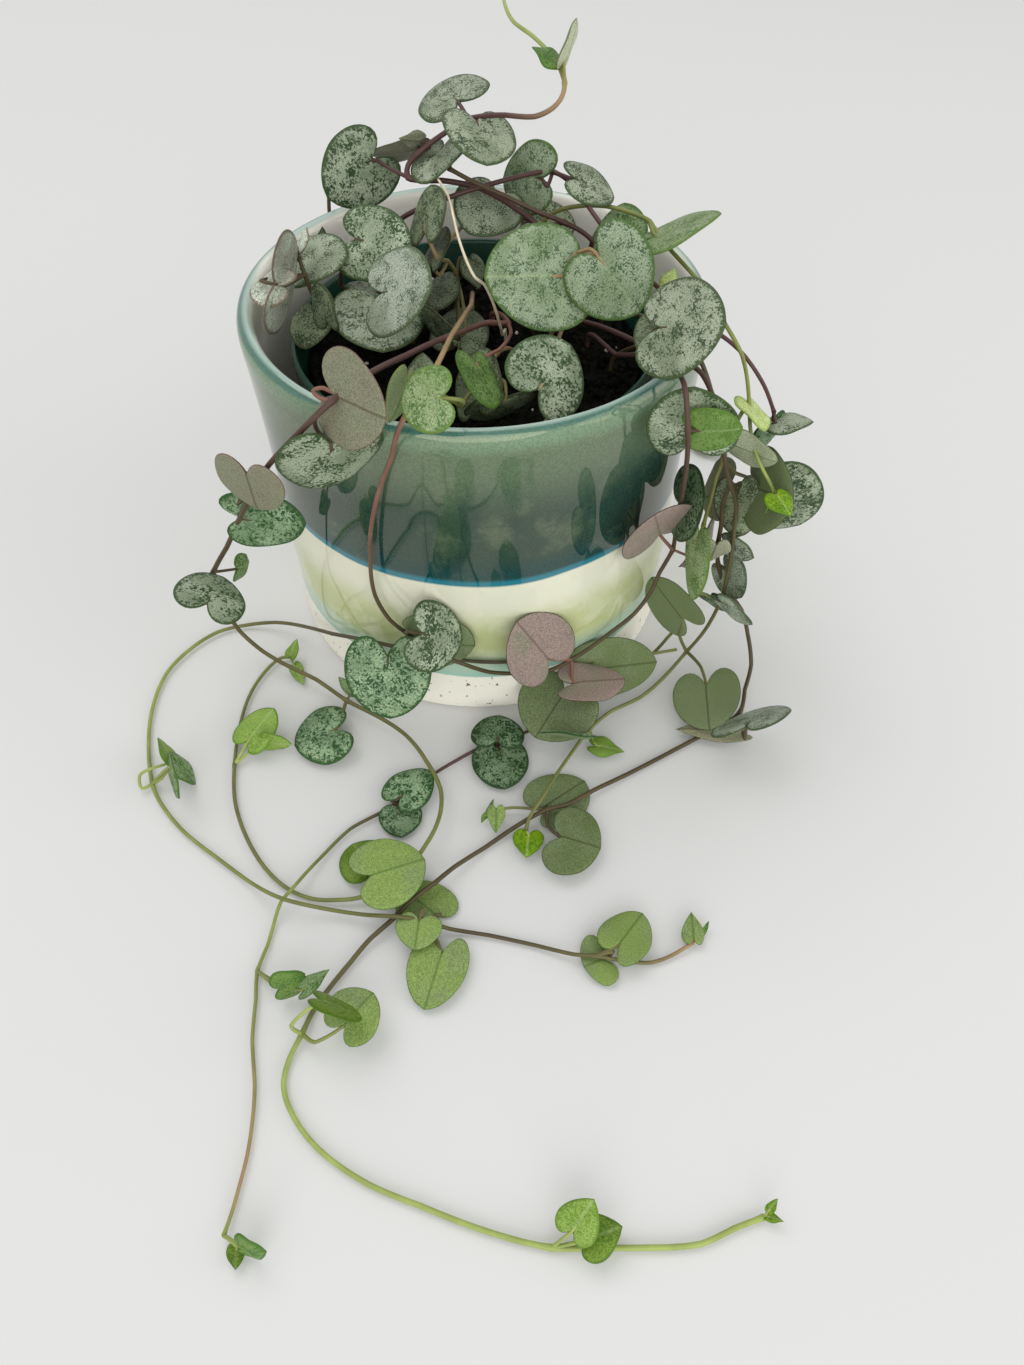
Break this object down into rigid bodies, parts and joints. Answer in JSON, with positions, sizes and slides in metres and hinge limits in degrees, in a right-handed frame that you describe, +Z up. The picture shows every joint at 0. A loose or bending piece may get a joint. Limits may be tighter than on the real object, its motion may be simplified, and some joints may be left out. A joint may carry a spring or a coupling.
{
  "type": "potted string of hearts",
  "caption": "Trailing houseplant with heart-shaped silver and green leaves on thin stems, in a small glazed cup that stands on a flat foot.",
  "frame": {"origin": "middle of the cup's flat foot, on the surface that it stands on", "axes": "+Z up along the cup's axis, -Y towards the front, where the vines trail forwards, +X to the right seen from the front"},
  "size_m": [0.1313, 0.2101, 0.1051],
  "materials": {
    "glazed_stoneware": "glossy glaze, dark grey-green above a cream band, bare speckled clay at the foot",
    "nursery_plastic": "thin dark green plastic",
    "potting_soil": "dark crumbly potting mix with white grains",
    "leafy_vine": "waxy silver, green and lime leaves on purple, olive and lime stems",
    "dry_straw": "dry pale straw"
  },
  "bodies": {
    "root": {"cup": "glazed_stoneware", "nursery_pot": "nursery_plastic", "soil": "potting_soil", "vine_left": "leafy_vine", "vine_loop": "leafy_vine", "vine_front": "leafy_vine", "vine_right": "leafy_vine", "vine_long": "leafy_vine", "vine_young": "leafy_vine", "vine_over": "leafy_vine", "vine_top": "leafy_vine", "shoot_back": "leafy_vine", "shoot_left": "leafy_vine", "shoot_tall": "leafy_vine", "shoot_middle": "leafy_vine", "shoot_centre": "leafy_vine", "shoot_front": "leafy_vine", "shoot_right": "leafy_vine", "shoot_side": "leafy_vine", "vine_back": "leafy_vine", "vine_behind": "leafy_vine", "dry_stem": "dry_straw"}
  },
  "joints": []
}
